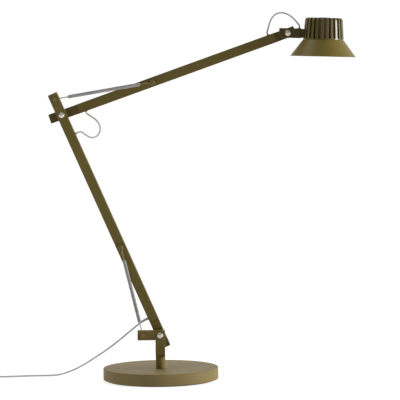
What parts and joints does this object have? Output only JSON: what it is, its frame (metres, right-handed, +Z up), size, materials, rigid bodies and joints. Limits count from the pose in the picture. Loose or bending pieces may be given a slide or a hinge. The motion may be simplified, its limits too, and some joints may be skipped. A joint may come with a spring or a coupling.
{
  "type": "adjustable arm lamp",
  "caption": "Lamp on a round weighted base with a swivelling post, hinged square-tube arms balanced by draw-rod springs, and a tilting finned head with a conical shade.",
  "frame": {"origin": "centre of the base's underside, on the floor", "axes": "+Z up, +X towards the lamp head along the arms, +Y to the back"},
  "size_m": [0.8332, 0.24, 0.7625],
  "materials": {
    "olive_paint": "satin",
    "base_paint": "satin",
    "bright_steel": "satin",
    "spring_steel": "satin",
    "black_plastic": "matte",
    "rubber_foot": "matte",
    "grey_cord": "matte",
    "aluminium": "satin",
    "white_reflector": "satin",
    "frosted_diffuser": "matte",
    "led_phosphor": "matte"
  },
  "bodies": {
    "base": {"base_plate": "base_paint", "base_pad": "rubber_foot", "swivel_collar": "olive_paint", "swivel_spindle": "bright_steel", "spindle_nut": "bright_steel"},
    "post": {"swivel_washer": "black_plastic", "post_plug": "olive_paint", "post_tube": "olive_paint", "post_cap": "olive_paint", "post_bush": "bright_steel", "spring_bracket": "olive_paint", "lower_spring_pin": "olive_paint", "lower_pivot_bolt": "bright_steel", "lower_pivot_washer": "black_plastic", "lower_pivot_nut": "bright_steel", "mains_cord": "grey_cord", "mains_coil": "grey_cord", "mains_tail": "grey_cord", "mains_plug": "black_plastic"},
    "lower_arm": {"lower_arm_knuckle": "olive_paint", "lower_arm_tube": "olive_paint", "lower_arm_cap": "olive_paint", "elbow_bush": "bright_steel", "elbow_bolt": "bright_steel", "elbow_washer": "black_plastic", "elbow_nut": "bright_steel", "upper_spring_pin": "olive_paint", "lower_spring_stud": "olive_paint", "mains_gland": "black_plastic", "elbow_gland_lower": "black_plastic", "elbow_cord": "grey_cord"},
    "upper_arm": {"elbow_knuckle": "olive_paint", "upper_arm_tube": "olive_paint", "head_knuckle": "olive_paint", "upper_spring_stud": "olive_paint", "elbow_gland_upper": "black_plastic", "head_gland_arm": "black_plastic", "head_cord": "grey_cord"},
    "head": {"head_bar": "olive_paint", "head_gland_bar": "black_plastic", "head_bush": "bright_steel", "head_bolt": "bright_steel", "head_washer": "black_plastic", "head_nut": "bright_steel", "head_neck": "olive_paint", "heat_sink": "olive_paint", "shade": "olive_paint", "led_driver": "black_plastic", "led_carrier": "aluminium", "led_chip": "led_phosphor", "reflector": "white_reflector", "diffuser": "frosted_diffuser", "retaining_ring": "black_plastic"},
    "button": {"power_button": "black_plastic"},
    "lower_spring": {"lower_spring_coil": "spring_steel", "lower_spring_hook": "spring_steel"},
    "lower_draw_rod": {"lower_spring_rod": "spring_steel"},
    "upper_spring": {"upper_spring_coil": "spring_steel", "upper_spring_hook": "spring_steel"},
    "upper_draw_rod": {"upper_spring_rod": "spring_steel"}
  },
  "joints": [
    {"name": "base_swivel", "type": "hinge", "parent": "base", "child": "post", "pos_m": [0, -0.0216, 0.05], "axis": [0, 0, 1], "range_deg": [-170, 170]},
    {"name": "lower_arm_hinge", "type": "hinge", "parent": "post", "child": "lower_arm", "pos_m": [0, -0.0108, 0.096], "axis": [0, -1, 0], "range_deg": [-33, 22], "deforming": ["lower_spring_coil", "mains_cord"]},
    {"name": "elbow_hinge", "type": "hinge", "parent": "lower_arm", "child": "upper_arm", "pos_m": [-0.19857, 0.0108, 0.55488], "axis": [0, -1, 0], "range_deg": [-32, 32], "deforming": ["upper_spring_coil", "elbow_cord"]},
    {"name": "head_hinge", "type": "hinge", "parent": "upper_arm", "child": "head", "pos_m": [0.27201, 0.0108, 0.71875], "axis": [0, -1, 0], "range_deg": [-65, 85], "deforming": ["head_cord"]},
    {"name": "button_slide", "type": "slide", "parent": "head", "child": "button", "axis": [-0.0349, 0, -0.9994], "range_m": [0, 0.0012], "stiffness_N_per_m": 400, "springref_m": -0.0005},
    {"name": "lower_spring_swing", "type": "hinge", "parent": "lower_arm", "child": "lower_spring", "pos_m": [-0.07943, -0.0216, 0.27955], "axis": [0, -1, 0], "range_deg": [-1.5, 1.5]},
    {"name": "lower_rod_swing", "type": "hinge", "parent": "post", "child": "lower_draw_rod", "pos_m": [-0.036, -0.0216, 0.096], "axis": [0, -1, 0], "range_deg": [-35, 24]},
    {"name": "upper_spring_swing", "type": "hinge", "parent": "upper_arm", "child": "upper_spring", "pos_m": [-0.0097, 0, 0.62065], "axis": [0, -1, 0], "range_deg": [-1.5, 1.5]},
    {"name": "upper_rod_swing", "type": "hinge", "parent": "lower_arm", "child": "upper_draw_rod", "pos_m": [-0.21287, 0, 0.58792], "axis": [0, -1, 0], "range_deg": [-32, 32]}
  ],
  "couplings": [
    {"joint": "lower_spring_swing", "follows": "lower_arm_hinge", "ratio": 0.028},
    {"joint": "lower_rod_swing", "follows": "lower_arm_hinge", "ratio": 1.028},
    {"joint": "upper_spring_swing", "follows": "elbow_hinge", "ratio": -0.037},
    {"joint": "upper_rod_swing", "follows": "elbow_hinge", "ratio": 0.963}
  ]
}
